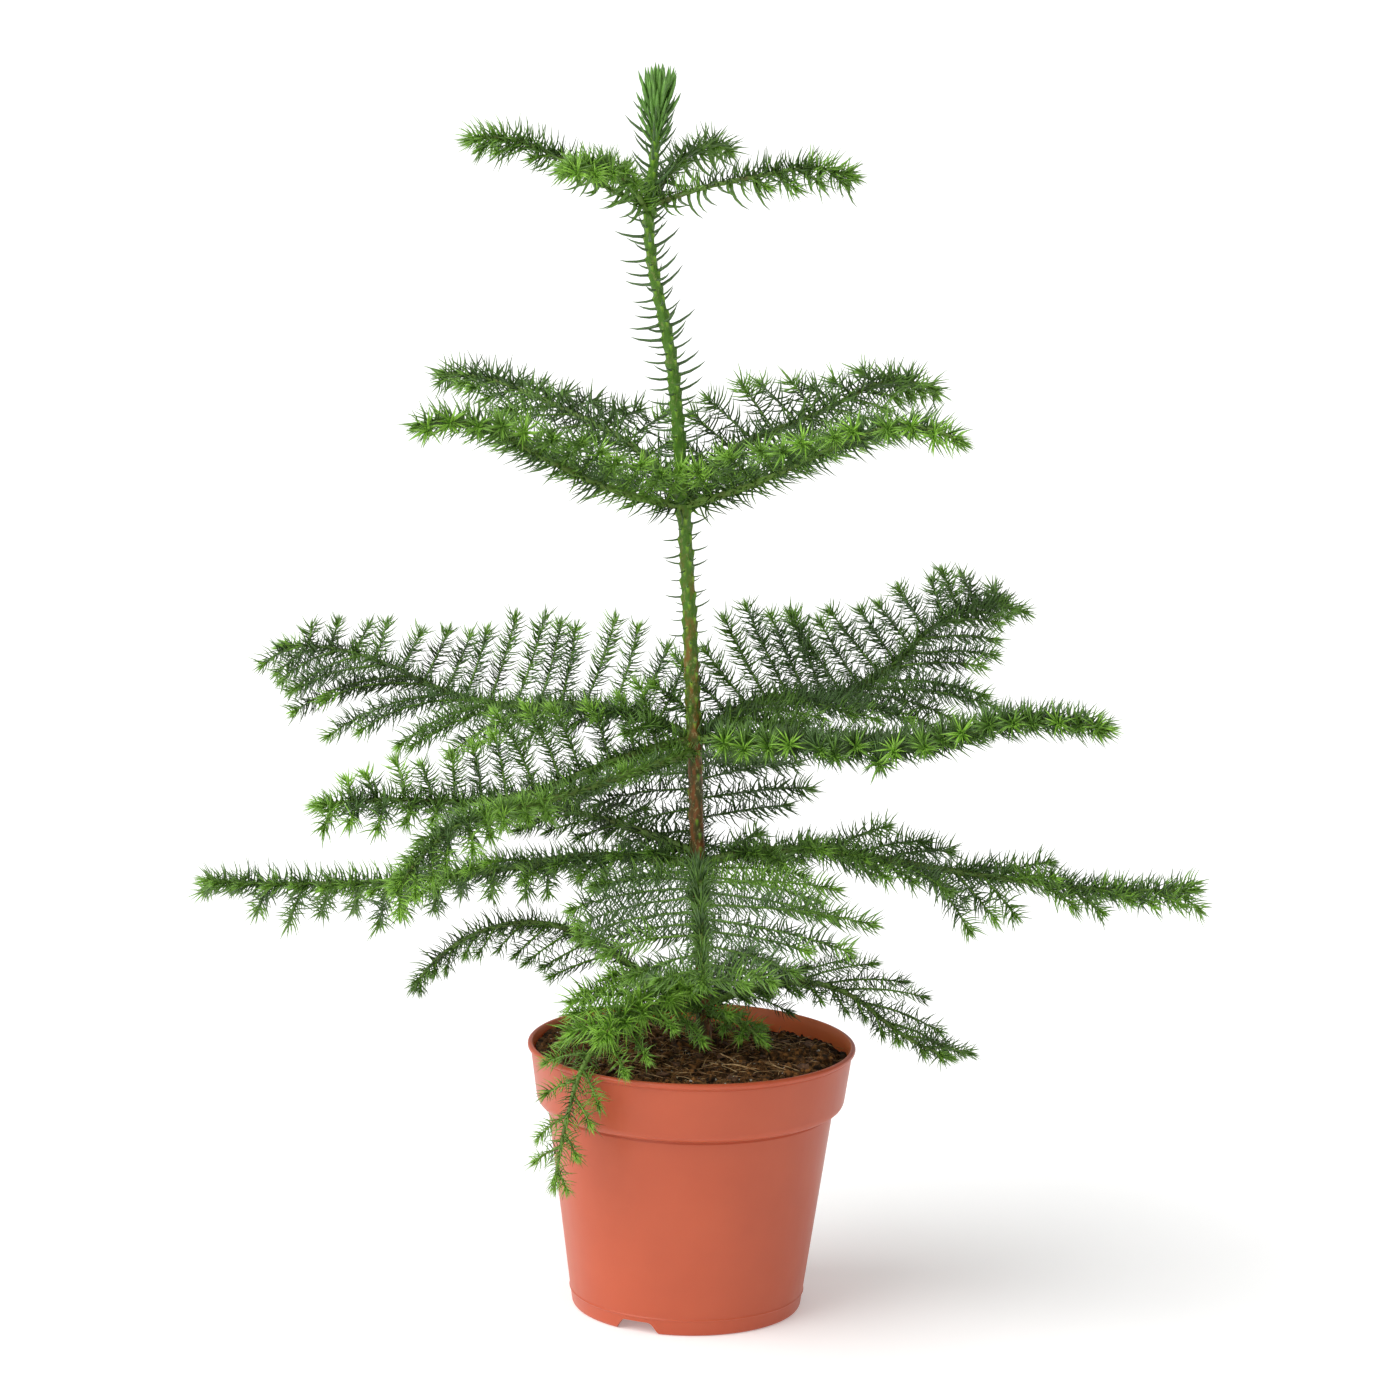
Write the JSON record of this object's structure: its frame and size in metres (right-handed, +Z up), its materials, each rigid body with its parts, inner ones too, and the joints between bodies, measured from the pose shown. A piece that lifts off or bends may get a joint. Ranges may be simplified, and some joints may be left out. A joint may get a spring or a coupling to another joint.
{
  "type": "potted norfolk island pine",
  "caption": "Young Norfolk Island pine with tiered whorls of soft needle branches, standing in a tapered plastic nursery pot filled with soil.",
  "frame": {"origin": "centre of the pot's flat underside, on the surface that the pot stands on", "axes": "+Z up along the pot's axis, +X to the plant's right, -Y its front"},
  "size_m": [0.4698, 0.349, 0.565],
  "materials": {
    "terracotta_plastic": "moulded terracotta-coloured plastic with a soft satin sheen",
    "potting_soil": "loose dark peat with coir fibres and bark crumbs",
    "bark": "young reddish bark, greener towards the top",
    "green_wood": "green young wood with needle bases",
    "needles": "soft mature needles, mid to dark green",
    "young_needles": "fresh bright green needles at the growing tips"
  },
  "bodies": {
    "root": {"bough_base_back": "green_wood", "bough_base_front": "green_wood", "bough_base_hanging": "green_wood", "bough_base_left": "green_wood", "bough_base_right": "green_wood", "bough_base_small": "green_wood", "bough_lower_back": "green_wood", "bough_lower_back_left": "green_wood", "bough_lower_front": "green_wood", "bough_lower_left": "green_wood", "bough_lower_right": "green_wood", "bough_middle_front": "green_wood", "bough_middle_left_back": "green_wood", "bough_middle_left_front": "green_wood", "bough_middle_right_back": "green_wood", "bough_middle_right_front": "green_wood", "bough_top_back": "green_wood", "bough_top_front": "green_wood", "bough_top_left": "green_wood", "bough_top_right": "green_wood", "bough_upper_left_back": "green_wood", "bough_upper_left_front": "green_wood", "bough_upper_right_back": "green_wood", "bough_upper_right_front": "green_wood", "foliage_base_back": "needles", "foliage_base_front": "needles", "foliage_base_hanging": "needles", "foliage_base_left": "needles", "foliage_base_right": "needles", "foliage_base_small": "needles", "foliage_leader": "young_needles", "foliage_lower_back": "needles", "foliage_lower_back_left": "needles", "foliage_lower_front": "needles", "foliage_lower_left": "needles", "foliage_lower_right": "needles", "foliage_middle_front": "needles", "foliage_middle_left_back": "needles", "foliage_middle_left_front": "needles", "foliage_middle_right_back": "needles", "foliage_middle_right_front": "needles", "foliage_top_back": "needles", "foliage_top_front": "needles", "foliage_top_left": "needles", "foliage_top_right": "needles", "foliage_upper_left_back": "needles", "foliage_upper_left_front": "needles", "foliage_upper_right_back": "needles", "foliage_upper_right_front": "needles", "pot": "terracotta_plastic", "soil": "potting_soil", "trunk": "bark"}
  },
  "joints": []
}
